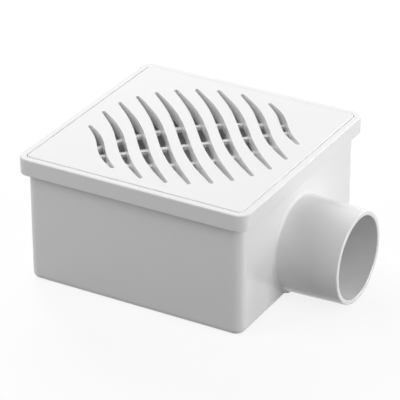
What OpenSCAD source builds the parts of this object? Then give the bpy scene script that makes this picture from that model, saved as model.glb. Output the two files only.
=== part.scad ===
// Square floor gully trap: an open-topped body with a socket outlet in one side,
// a slotted grille that lies in the rim, and a lift-out odour trap under it.
// Frame: +Z up, origin in the middle of the body's underside, the outlet along +X.

/* [Rim] */
// Outer side of the square rim
rim_side = 150; // [146:1:180]
// Height of the rim's outer face
rim_h = 10.4; // [9.6:0.1:14]
// Width of the rim round the grille
rim_wall = 4; // [3.6:0.1:5]
// Radius of the rim's upright corners
rim_corner_r = 7.2; // [6.5:0.1:12]
// Rounding of the rim's outer edges
rim_edge_r = 0.8; // [0.4:0.1:1.2]

/* [Body] */
// Height of the whole trap
body_h = 80.5; // [80:0.5:110]
// How far the rim stands out past the box below it
rim_overhang = 4; // [3:0.1:5]
// Wall of the box
wall = 2.6; // [2.2:0.1:3]
// Thickness of the box's floor
floor_t = 2.6; // [2:0.1:3]
// Radius of the box's upright corners
box_corner_r = 6.6; // [6:0.1:10]
// Rounding of the box's bottom edge
box_edge_r = 4; // [2:0.5:5]
// How much each side of the box draws in towards its bottom
box_draft = 0.25; // [0.1:0.05:1]
// Width of the ledge that carries the odour trap
ledge_w = 5; // [4:0.5:6]
// Thickness of that ledge
ledge_t = 2.5; // [2:0.1:3]

/* [Outlet] */
// Sideways place of the outlet's axis
outlet_y = -2; // [-8:1:8]
// Length of the outlet beyond the box
outlet_len = 39.3; // [37:0.1:60]
// Inner radius of the outlet socket, which takes a 50 mm pipe
socket_r = 25.15; // [25.05:0.05:25.25]
// Depth to which the pipe goes in
socket_depth = 34; // [25:1:35]
// Step that stops the pipe
stop_w = 1.55; // [1:0.05:2]
// Wall of the outlet at its mouth
mouth_wall = 2.9; // [2.4:0.1:3.5]
// Growth of the outlet's outer radius from the mouth to the box
outlet_taper = 1.15; // [0.5:0.05:2]
// Height of the outlet's underside above the base plane
outlet_lift = 0.2; // [0.2:0.1:5]
// Fillet where the outlet leaves the box
outlet_fillet_r = 1.6; // [1:0.1:3]
// Rounding of the mouth's outer edge
mouth_round = 0.9; // [0.5:0.1:1.2]

/* [Grille] */
// How far the grille's top stands above the rim
grille_rise = 0.3; // [0:0.05:0.5]
// Gap between the grille and the rim
seam_gap = 0.5; // [0.2:0.05:0.6]
// Thickness of the grille's plate
plate_t = 3; // [2.5:0.1:4]
// Full depth of the grille at its skirt
grille_depth = 8.5; // [8:0.1:9]
// Thickness of the skirt
skirt_t = 2.2; // [1.8:0.1:2.4]
// Rounding of the plate's top edge
plate_edge_r = 0.6; // [0.2:0.1:0.8]

/* [Slots] */
// Number of wave-shaped slots
slot_count = 10; // [6:2:10]
// Distance from one slot to the next
slot_pitch = 12.3; // [11:0.1:12.6]
// Radius of the round field that the slots fill
slot_field_r = 62.3; // [60:0.1:63]
// Sideways sway of the longest slots
slot_sway = 2.35; // [0:0.05:2.5]
// Width of the longest slots at their middle
slot_mid_w = 5.9; // [4:0.1:6.2]
// Width of a slot at its ends
slot_end_w = 2.4; // [1.5:0.1:2.6]
// Wall that runs down round each slot
collar_t = 1.4; // [1:0.1:1.8]
// Depth of those walls below the grille's top
collar_depth = 8; // [6:0.1:8]
// Thickness of the ribs that cross under the slots
rib_t = 3.2; // [1.6:0.1:3.6]
// Depth of the ribs' upper edge below the grille's top
rib_drop = 6.4; // [5:0.1:6.6]
// Distance of the bowed ribs from the straight one
rib_pitch = 23; // [18:1:26]
// Radius of the bowed ribs
rib_bow_r = 130; // [120:1:180]

/* [Odour trap] */
// Clearance of the odour trap inside the box
trap_gap = 0.5; // [0.3:0.1:0.8]
// Clearance of its basket inside the ledge
basket_gap = 0.8; // [0.5:0.1:1.2]
// Thickness of its flange
flange_t = 2; // [1.6:0.1:2.5]
// Wall of its basket
basket_wall = 2; // [1.6:0.1:2.5]
// Depth of its basket
basket_depth = 18; // [14:1:19]
// Radius of the basket's upright corners
basket_corner_r = 8; // [7:0.5:12]
// Rounding of the basket's bottom edge
basket_edge_r = 3; // [2:0.5:4]
// How much each side of the basket draws in towards its bottom
basket_draft = 1; // [0.5:0.1:1.5]
// Radius of the dished middle of the basket's floor
dish_r = 42; // [38:1:48]
// Fall of the dish
dish_fall = 4; // [2:0.5:5]
// Outer radius of the dip tube
tube_r = 20; // [16:0.5:21]
// Wall of the dip tube
tube_wall = 1.8; // [1.5:0.1:2.2]

/* [Water cup] */
// Clear water way between the dip tube and the cup
cup_way = 9; // [7:0.5:12]
// Wall of the cup
cup_wall = 2; // [1.6:0.1:2.5]
// Height of the cup's underside above the box's floor
cup_lift = 4.4; // [2:0.1:6]
// Height of the cup
cup_h = 33; // [28:0.5:35]
// Clear height under the foot of the dip tube
foot_way = 7; // [5:0.5:10]
// Rounding of the cup's bottom edge
cup_edge_r = 3; // [2:0.5:4]
// Thickness of the fins that grip the dip tube
fin_t = 1.8; // [1.4:0.1:2.5]
// Height of the grip above the foot of the dip tube
fin_grip = 14; // [8:1:16]
// Gap between the fins and the dip tube
fin_gap = 0.1; // [0.05:0.05:0.2]

/* [Seal] */
// Thickness of the rubber seal under the flange
seal_t = 1.5; // [1:0.1:2]
// How far the seal stays back from the ledge's inner edge
seal_back = 0.3; // [0:0.1:0.6]

/* [Hidden] */
$fn = 96;

eps = 0.01;
cut = 1;
lap = 1;
plastic = "white";
rubber = "dimgray";

// Square outlines, as half sides and corner radii
rim_half = rim_side / 2;
pocket_half = rim_half - rim_wall;
pocket_r = rim_corner_r - rim_wall;
grille_half = pocket_half - seam_gap;
grille_r = pocket_r - seam_gap;
box_half = rim_half - rim_overhang;
cavity_half = box_half - wall;
cavity_r = box_corner_r - wall;
ledge_half = cavity_half - ledge_w;
flange_half = cavity_half - trap_gap;
flange_r = cavity_r - trap_gap;
basket_half = ledge_half - basket_gap;
seal_inner_half = ledge_half + seal_back;

// Heights, from the top down
rim_top_z = body_h - grille_rise;
rim_z = rim_top_z - rim_h;
plate_z = body_h - plate_t;
seat_z = body_h - grille_depth;
flange_z = seat_z - flange_t;
seal_z = flange_z - seal_t;
ledge_z = seal_z - ledge_t;
basket_z = seat_z - basket_depth;
dish_z = basket_z - dish_fall;

// Heights and radii of the water cup, from the floor up
cup_z = floor_t + cup_lift;
cup_floor_z = cup_z + cup_wall;
tube_foot_z = cup_floor_z + foot_way;
cup_in_r = tube_r + cup_way;
cup_r = cup_in_r + cup_wall;
tube_in_r = tube_r - tube_wall;
fin_r = tube_r + fin_gap;
fin_count = 3;

// Outlet
mouth_r = socket_r + mouth_wall;
root_r = mouth_r + outlet_taper;
outlet_z = root_r + outlet_lift;
mouth_x = box_half + outlet_len;
stop_x = mouth_x - socket_depth;
throat_r = socket_r - stop_w;
mouth_chamfer = 0.4;

// Slots
slot_steps = 12;
cap_step = 30;
sway_power = 0.65;
width_power = 0.35;
rib_foot_gap = 0.1;

// A square with round corners, given by its half side
module round_square(half, r) {
    square([2 * half, 2 * (half - r)], center = true);
    square([2 * (half - r), 2 * half], center = true);
    for (x = [-1, 1], y = [-1, 1]) translate([x * (half - r), y * (half - r)]) circle(r);
}

// An upright prism on such a square
module prism(half, r, z0, z1) {
    translate([0, 0, z0]) linear_extrude(z1 - z0) round_square(half, r);
}

// What a rounding takes off a section: it lies outside the circle at c, between
// the directions a0 and a1
module edge_waste(c, r, a0, a1) {
    mid = (a0 + a1) / 2;
    translate(c) difference() {
        polygon([[0, 0], 2 * r * [cos(a0), sin(a0)], 3 * r * [cos(mid), sin(mid)],
            2 * r * [cos(a1), sin(a1)]]);
        circle(r);
    }
}

// Section of a block's side: x runs out from the corner centre, y is the height
module block_section(r, z0, z1, draft, low_r, top_r) {
    lean = atan(draft / (z1 - z0));
    reach = (1 - sin(lean)) / cos(lean);
    difference() {
        polygon([[0, z0], [r - draft, z0], [r, z1], [0, z1]]);
        if (low_r > 0) edge_waste([r - draft - low_r * reach, z0 + low_r], low_r, -90, -lean);
        if (top_r > 0) edge_waste([r - top_r, z1 - top_r], top_r, 0, 90);
    }
}

// Carries a section round a square whose corner centres stand c from its middle lines
module sweep_square(c) {
    for (turn = [0 : 90 : 270]) rotate(turn) translate([c, c, 0]) {
        rotate([90, 0, 0]) linear_extrude(2 * c) children();
        rotate_extrude(angle = 90) children();
    }
}

// A square block with round upright corners, a draft and rounded lower and upper edges
module block(half, r, z0, z1, draft = 0, low_r = 0, top_r = 0) {
    c = half - r;
    translate([-c, -c, z0]) cube([2 * c, 2 * c, z1 - z0]);
    sweep_square(c) block_section(r, z0, z1, draft, low_r, top_r);
}

// Half section of the outlet: x is the radius, y runs along the outlet's axis
module outlet_section() {
    difference() {
        polygon([[0, cavity_half - cut], [root_r, cavity_half - cut], [root_r, box_half],
            [mouth_r, mouth_x], [0, mouth_x]]);
        edge_waste([mouth_r - mouth_round, mouth_x - mouth_round], mouth_round, 0, 90);
    }
    difference() {
        translate([root_r - cut, box_half - box_draft])
            square([outlet_fillet_r + cut, outlet_fillet_r + box_draft]);
        translate([root_r + outlet_fillet_r, box_half + outlet_fillet_r]) circle(outlet_fillet_r);
    }
}

// Turns a shape round Z into one round the outlet's axis
module on_outlet_axis() {
    translate([0, outlet_y, outlet_z]) rotate([0, 90, 0]) children();
}

module body() {
    color(plastic) {
        difference() {
            union() {
                block(rim_half, rim_corner_r, rim_z, rim_top_z, low_r = rim_edge_r, top_r = rim_edge_r);
                block(box_half, box_corner_r, 0, rim_z + lap, draft = box_draft, low_r = box_edge_r);
                difference() {
                    on_outlet_axis() rotate_extrude() outlet_section();
                    translate([0, -rim_half, -rim_side]) cube([mouth_x, rim_side, rim_side]);
                }
            }
            prism(pocket_half, pocket_r, seat_z, body_h + cut);
            block(cavity_half, cavity_r, floor_t, seat_z + cut, draft = box_draft, low_r = cavity_r / 2);
            on_outlet_axis() {
                translate([0, 0, cavity_half - 2 * cut]) cylinder(r = throat_r, h = mouth_x - cavity_half);
                translate([0, 0, stop_x]) cylinder(r = socket_r, h = socket_depth + cut);
                translate([0, 0, mouth_x - mouth_chamfer])
                    cylinder(r1 = socket_r, r2 = socket_r + 2 * mouth_chamfer, h = 2 * mouth_chamfer);
            }
        }
        difference() {
            prism(cavity_half + wall / 2, box_corner_r, ledge_z, seal_z);
            prism(ledge_half, cavity_r, ledge_z - cut, seal_z + cut);
        }
    }
}

// Half width of a slot, where t runs from -1 at one end to 1 at the other
function slot_half_w(t, mid_w) = (slot_end_w + (mid_w - slot_end_w) * cos(90 * t)) / 2;

// One long side and one round end of a slot. The rest is the same, turned half round
function slot_half(len, sway, mid_w, grow) = concat(
    [for (i = [0 : slot_steps]) let (t = 2 * i / slot_steps - 1)
        [sway * sin(180 * t) + slot_half_w(t, mid_w) + grow, len * t]],
    [for (a = [cap_step : cap_step : 180 - cap_step])
        [0, len] + (slot_end_w / 2 + grow) * [cos(a), sin(a)]]);

// Outline of the slot at distance u from the field's middle, grown by a wall. Shorter
// slots sway less and are slimmer
module slot_outline(u, grow = 0) {
    len = sqrt(slot_field_r * slot_field_r - u * u) - slot_end_w / 2;
    share = len / slot_field_r;
    half = slot_half(len, slot_sway * pow(share, sway_power), slot_mid_w * pow(share, width_power), grow);
    translate([u, 0]) polygon(concat(half, [for (p = half) -p]));
}

// All the slots, each grown by a wall
module slots(grow = 0) {
    for (i = [0 : slot_count - 1]) slot_outline((i - (slot_count - 1) / 2) * slot_pitch, grow);
}

// A straight rib and two that bow away from it, which meet it outside the slots
module ribs() {
    reach = 2 * rim_half;
    h = grille_depth - rib_drop - rib_foot_gap;
    intersection() {
        translate([0, 0, seat_z + rib_foot_gap]) {
            translate([-reach, -rib_t / 2, 0]) cube([2 * reach, rib_t, h]);
            for (side = [0, 180]) rotate(side) intersection() {
                translate([0, rib_pitch - rib_bow_r, 0]) difference() {
                    cylinder(r = rib_bow_r + rib_t / 2, h = h);
                    translate([0, 0, -cut]) cylinder(r = rib_bow_r - rib_t / 2, h = h + 2 * cut);
                }
                translate([-reach, 0, -cut]) cube([2 * reach, reach, h + 2 * cut]);
            }
        }
        rotate(-45) prism(grille_half - skirt_t / 2, grille_r, seat_z, body_h);
    }
}

// Section of the grille's edge, from its corner centres out: the plate and the skirt
module grille_edge_section() {
    difference() {
        translate([0, seat_z]) square([grille_r, grille_depth]);
        translate([-cut, seat_z - cut]) square([grille_r - skirt_t + cut, grille_depth - plate_t + cut]);
        edge_waste([grille_r - plate_edge_r, body_h - plate_edge_r], plate_edge_r, 0, 90);
    }
}

module grille() {
    color(plastic) {
        sweep_square(grille_half - grille_r) grille_edge_section();
        rotate(45) {
            translate([0, 0, plate_z]) linear_extrude(plate_t) difference() {
                rotate(-45) square(2 * (grille_half - grille_r), center = true);
                slots();
            }
            translate([0, 0, body_h - collar_depth]) linear_extrude(collar_depth - plate_t) difference() {
                slots(collar_t);
                slots();
            }
            ribs();
        }
    }
}

module seal() {
    color(rubber) difference() {
        prism(flange_half, flange_r, seal_z, flange_z);
        prism(seal_inner_half, cavity_r, seal_z - cut, flange_z + cut);
    }
}

// Section of the dished floor and the dip tube below it: x is the radius, y the height
module dip_section() {
    polygon([[tube_in_r, tube_foot_z], [tube_r, tube_foot_z], [tube_r, dish_z - basket_wall],
        [dish_r, basket_z - basket_wall], [dish_r + cut, basket_z - basket_wall],
        [dish_r + cut, basket_z], [dish_r, basket_z], [tube_in_r, dish_z]]);
}

module trap_insert() {
    color(plastic) {
        difference() {
            union() {
                prism(flange_half, flange_r, flange_z, seat_z);
                block(basket_half, basket_corner_r, basket_z - basket_wall, seat_z,
                    draft = basket_draft, low_r = basket_edge_r);
            }
            block(basket_half - basket_wall, basket_corner_r - basket_wall, basket_z, seat_z + cut,
                draft = basket_draft, low_r = basket_edge_r - basket_wall / 2);
            translate([0, 0, basket_z - 2 * basket_wall]) cylinder(r = dish_r, h = basket_depth);
        }
        rotate_extrude() dip_section();
    }
}

// Half section of the cup: x is the radius, y the height
module cup_section() {
    difference() {
        translate([0, cup_z]) square([cup_r, cup_h]);
        translate([-cut, cup_floor_z]) square([cup_in_r + cut, cup_h]);
        edge_waste([cup_r - cup_edge_r, cup_z + cup_edge_r], cup_edge_r, -90, 0);
        edge_waste([cup_r - cup_wall / 2, cup_z + cup_h - cup_wall / 2], cup_wall / 2, 0, 90);
        edge_waste([cup_r - cup_wall / 2, cup_z + cup_h - cup_wall / 2], cup_wall / 2, 90, 180);
    }
}

// A fin that grips the dip tube, with a step on which the tube's foot stands
module fin() {
    low = cup_floor_z - cup_wall / 2;
    translate([fin_r, -fin_t / 2, low])
        cube([cup_in_r + cup_wall / 2 - fin_r, fin_t, tube_foot_z + fin_grip - low]);
    translate([tube_in_r, -fin_t / 2, low])
        cube([fin_r - tube_in_r + eps, fin_t, tube_foot_z - low]);
}

module water_cup() {
    color(plastic) {
        rotate_extrude() cup_section();
        for (i = [0 : fin_count - 1]) rotate(i * 360 / fin_count) fin();
    }
}

body();
grille();
seal();
trap_insert();
water_cup();
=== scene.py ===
# %% [markdown]
# # A floor gully trap in white moulded plastic
# The trap is a square box with a flat rim, a slotted grille that lies in the rim and a
# round outlet in one side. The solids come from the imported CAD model, in metres and in
# the part's own frame: +Z up, the outlet along +X, the floor at Z = 0. This file gives
# them their finish, sets them on a pale floor and lights them.

# %% Load the frame
import math

import bpy
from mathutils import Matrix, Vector

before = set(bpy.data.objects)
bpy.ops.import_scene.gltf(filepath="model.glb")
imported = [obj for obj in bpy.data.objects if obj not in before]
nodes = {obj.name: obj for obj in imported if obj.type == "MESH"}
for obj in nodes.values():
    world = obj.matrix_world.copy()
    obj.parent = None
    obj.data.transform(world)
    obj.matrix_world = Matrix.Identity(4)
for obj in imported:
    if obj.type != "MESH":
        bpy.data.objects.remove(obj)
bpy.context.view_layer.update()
scene = bpy.context.scene
MM = 0.001
print("nodes:", sorted(nodes))

# %% [markdown]
# ## Colours and nodes
# Colours are picked as sRGB hex values, as a paint chart gives them. Shaders work in
# linear light, so one function turns them. Another adds a shader node, sets its values
# and links its inputs in one call, which keeps each material short enough to read.


# %% Helpers
def linear(hex_code):
    """A hex colour such as "F2F2F0" as the linear RGBA that a shader expects."""
    channels = [int(hex_code[i : i + 2], 16) / 255 for i in (0, 2, 4)]
    return [c / 12.92 if c <= 0.04045 else ((c + 0.055) / 1.055) ** 2.4 for c in channels] + [1.0]


def add_node(tree, kind, values=None, links=None, **settings):
    """Adds a node: settings are its own properties, values fill sockets, links feed them."""
    node = tree.nodes.new(kind)
    for key, value in settings.items():
        setattr(node, key, value)
    for socket, value in (values or {}).items():
        node.inputs[socket].default_value = value
    for socket, source in (links or {}).items():
        tree.links.new(source, node.inputs[socket])
    return node


def new_material(name):
    """An empty material, with its node tree and its output node."""
    material = bpy.data.materials.new(name)
    material.use_nodes = True
    material.node_tree.nodes.clear()
    return material, material.node_tree, material.node_tree.nodes.new("ShaderNodeOutputMaterial")


# %% [markdown]
# ## White plastic
# Body, grille and odour trap are injection moulded in white ABS, in a polished mould.
# The skin is hard and glossy, so the eye reads the form by its reflections. A skin of
# plastic is never quite flat: it shrinks as it cools, which leaves a shallow, soft
# waviness some centimetres across, and the mould leaves a very fine grain. The real
# grain is too fine to show at this distance, so it is drawn coarser, at about 1 mm.

# %% White ABS
SHRINK_WAVE = 18 * MM
SHRINK_DEPTH = 0.1 * MM
MOULD_GRAIN = 0.9 * MM
MOULD_GRAIN_DEPTH = 0.02 * MM
SMOOTHEST, ROUGHEST = 0.07, 0.11


def make_white_abs():
    material, tree, out = new_material("white_abs_moulded")
    where = add_node(tree, "ShaderNodeTexCoord").outputs["Object"]
    waves = add_node(
        tree, "ShaderNodeTexNoise", {"Scale": 1 / SHRINK_WAVE, "Detail": 1.0}, {"Vector": where}
    )
    grain = add_node(
        tree, "ShaderNodeTexNoise", {"Scale": 1 / MOULD_GRAIN, "Detail": 2.0}, {"Vector": where}
    )
    shrink = add_node(
        tree,
        "ShaderNodeBump",
        {"Strength": 0.25, "Distance": SHRINK_DEPTH},
        {"Height": waves.outputs["Fac"]},
    )
    skin = add_node(
        tree,
        "ShaderNodeBump",
        {"Strength": 0.05, "Distance": MOULD_GRAIN_DEPTH},
        {"Height": grain.outputs["Fac"], "Normal": shrink.outputs["Normal"]},
    )
    gloss = add_node(
        tree,
        "ShaderNodeMapRange",
        {"To Min": SMOOTHEST, "To Max": ROUGHEST},
        {"Value": waves.outputs["Fac"]},
    )
    plastic = add_node(
        tree,
        "ShaderNodeBsdfPrincipled",
        {"Base Color": linear("F5F5F5"), "IOR": 1.52},
        {"Roughness": gloss.outputs["Result"], "Normal": skin.outputs["Normal"]},
    )
    tree.links.new(plastic.outputs["BSDF"], out.inputs["Surface"])
    return material


white_abs = make_white_abs()
print(white_abs.name, "roughness", SMOOTHEST, "to", ROUGHEST)

# %% [markdown]
# ## Seal rubber
# The seal is a flat frame cut from black EPDM sheet: matt, a little grey, and with the
# faint grain of the cloth that the sheet was cured on.

# %% EPDM
CLOTH_GRAIN = 0.8 * MM
CLOTH_GRAIN_DEPTH = 0.05 * MM


def make_epdm():
    material, tree, out = new_material("black_epdm_sheet")
    where = add_node(tree, "ShaderNodeTexCoord").outputs["Object"]
    grain = add_node(
        tree, "ShaderNodeTexNoise", {"Scale": 1 / CLOTH_GRAIN, "Detail": 3.0}, {"Vector": where}
    )
    skin = add_node(
        tree,
        "ShaderNodeBump",
        {"Strength": 0.4, "Distance": CLOTH_GRAIN_DEPTH},
        {"Height": grain.outputs["Fac"]},
    )
    rubber = add_node(
        tree,
        "ShaderNodeBsdfPrincipled",
        {"Base Color": linear("26272A"), "Roughness": 0.7},
        {"Normal": skin.outputs["Normal"]},
    )
    tree.links.new(rubber.outputs["BSDF"], out.inputs["Surface"])
    return material


epdm = make_epdm()
print(epdm.name, "grain", CLOTH_GRAIN / MM, "mm")

# %% [markdown]
# ## Dressing the solids
# The solids of the CAD model are already the true shapes, so each keeps its mesh and
# only takes its material.

# %% Give the solids their finish
FINISH = {
    "body": white_abs,
    "grille": white_abs,
    "trap_insert": white_abs,
    "water_cup": white_abs,
    "seal": epdm,
}
for name, material in FINISH.items():
    solid = nodes[name]
    solid.data.materials.clear()
    solid.data.materials.append(material)
    print(name, "->", material.name, len(solid.data.polygons), "faces")

# %% [markdown]
# ## Floor and surroundings
# The trap stands on a pale floor in a white studio, and both show as plain white. A
# white room would also fill every shadow, so the white is split by the kind of ray: the
# camera, and the gloss of the plastic, see it at full strength, while the light that
# falls on the object comes from the lamps and a much weaker room. For the same reason
# the floor throws light back as a mid grey. What the camera sees of it is partly a
# real surface, so that it takes a soft shadow.

# %% Floor and world
FLOOR_SIZE = 8.0
SHOWN_WHITE = 1.0
ROOM_LIGHT = 0.02
FLOOR_GLOW = 0.85


def add_seen_directly(tree):
    """A value that is 1 for rays of the camera, of gloss and through glass, else 0."""
    ray = add_node(tree, "ShaderNodeLightPath")
    seen = ray.outputs["Is Camera Ray"]
    for kind in ("Is Glossy Ray", "Is Transmission Ray"):
        links = {0: seen, 1: ray.outputs[kind]}
        seen = add_node(tree, "ShaderNodeMath", {}, links, operation="MAXIMUM").outputs["Value"]
    return seen


def make_floor_material():
    material, tree, out = new_material("pale_studio_floor")
    seen = add_seen_directly(tree)
    share = add_node(tree, "ShaderNodeMath", {1: FLOOR_GLOW}, {0: seen}, operation="MULTIPLY")
    paint = add_node(
        tree,
        "ShaderNodeMixRGB",
        {"Color1": linear("999999"), "Color2": linear("FFFFFF")},
        {"Fac": seen},
    )
    surface = add_node(tree, "ShaderNodeBsdfDiffuse", links={"Color": paint.outputs["Color"]})
    glow = add_node(
        tree, "ShaderNodeEmission", {"Color": linear("FFFFFF"), "Strength": SHOWN_WHITE}
    )
    links = {0: share.outputs["Value"], 1: surface.outputs["BSDF"], 2: glow.outputs["Emission"]}
    mix = add_node(tree, "ShaderNodeMixShader", links=links)
    tree.links.new(mix.outputs["Shader"], out.inputs["Surface"])
    return material


def make_world():
    world = bpy.data.worlds.new("white_studio")
    world.use_nodes = True
    tree = world.node_tree
    tree.nodes.clear()
    out = tree.nodes.new("ShaderNodeOutputWorld")
    white = {"Color": linear("FFFFFF")}
    room = add_node(tree, "ShaderNodeBackground", {**white, "Strength": ROOM_LIGHT})
    shown = add_node(tree, "ShaderNodeBackground", {**white, "Strength": SHOWN_WHITE})
    links = {0: add_seen_directly(tree), 1: room.outputs[0], 2: shown.outputs[0]}
    mix = add_node(tree, "ShaderNodeMixShader", links=links)
    tree.links.new(mix.outputs["Shader"], out.inputs["Surface"])
    return world


bpy.ops.object.select_all(action="DESELECT")
bpy.ops.mesh.primitive_plane_add(size=FLOOR_SIZE)
floor = bpy.context.object
floor.name = "floor"
floor.data.materials.append(make_floor_material())

scene.world = make_world()
scene.view_settings.view_transform = "Standard"
print("floor", FLOOR_SIZE, "m wide, room light", ROOM_LIGHT)

# %% [markdown]
# ## Lamps
# Soft boxes stand on a dome round the trap, all at one distance. The key is behind it
# to the left: it makes the top bright and leaves the walls of the slots, which face the
# front, dark enough to read. The boxes in front are weaker and mostly high, so that the
# rim throws a shadow on the box below it. Only the boxes behind the outlet show in the
# gloss of the plastic. The rest are kept out of it, as a polarising film would do.

# %% Soft boxes
DOME_RADIUS = 1.8
DOME_MIDDLE = Vector((0.0, 0.0, 50.0)) * MM


def direction(azimuth, elevation):
    """A unit vector: azimuth 0 is in front of the trap, 90 on its outlet's side."""
    a, e = math.radians(azimuth), math.radians(elevation)
    return Vector((math.sin(a) * math.cos(e), -math.cos(a) * math.cos(e), math.sin(e)))


def soft_box(name, azimuth, elevation, size, power, mirrored):
    """A square area lamp on the dome, aimed at the trap, seen in its gloss or not."""
    lamp = bpy.data.lights.new(name, "AREA")
    lamp.size = size
    lamp.energy = power
    box = bpy.data.objects.new(name, lamp)
    scene.collection.objects.link(box)
    outward = direction(azimuth, elevation)
    box.location = DOME_MIDDLE + outward * DOME_RADIUS
    box.rotation_euler = outward.to_track_quat("Z", "Y").to_euler()
    box.visible_glossy = mirrored
    print(name, power, "W at", azimuth, elevation)


soft_box("key_box_rear_left", 224, 31, 0.9, 23.5, False)
soft_box("rear_box", 180, 25, 0.9, 7.0, True)
soft_box("rear_box_right", 135, 18, 0.9, 8.0, True)
soft_box("outlet_side_box", 90, 18, 0.9, 14.5, True)
soft_box("front_box_high", 42, 52, 1.2, 4.2, False)
soft_box("front_box_left", 315, 45, 1.2, 9.8, False)
soft_box("front_box_low", 315, 22, 0.9, 4.8, False)

# %% [markdown]
# ## Camera
# A long lens from well back keeps the square box nearly square in the picture. The
# camera stands to the right of the front, above it, and is placed by two angles.

# %% Camera
AZIMUTH = 29.4
ELEVATION = 28.0
DISTANCE = 1.494
FOCAL_MM = 225.5
SENSOR_MM = 36.0
AIM = Vector((-1.0, 10.0, 32.5)) * MM

back = direction(AZIMUTH, ELEVATION)
camera = bpy.data.objects.new("camera", bpy.data.cameras.new("camera"))
scene.collection.objects.link(camera)
camera.data.lens = FOCAL_MM
camera.data.sensor_width = SENSOR_MM
camera.location = AIM + back * DISTANCE
camera.rotation_euler = (-back).to_track_quat("-Z", "Y").to_euler()
scene.camera = camera
print("camera at", [round(v, 3) for v in camera.location])
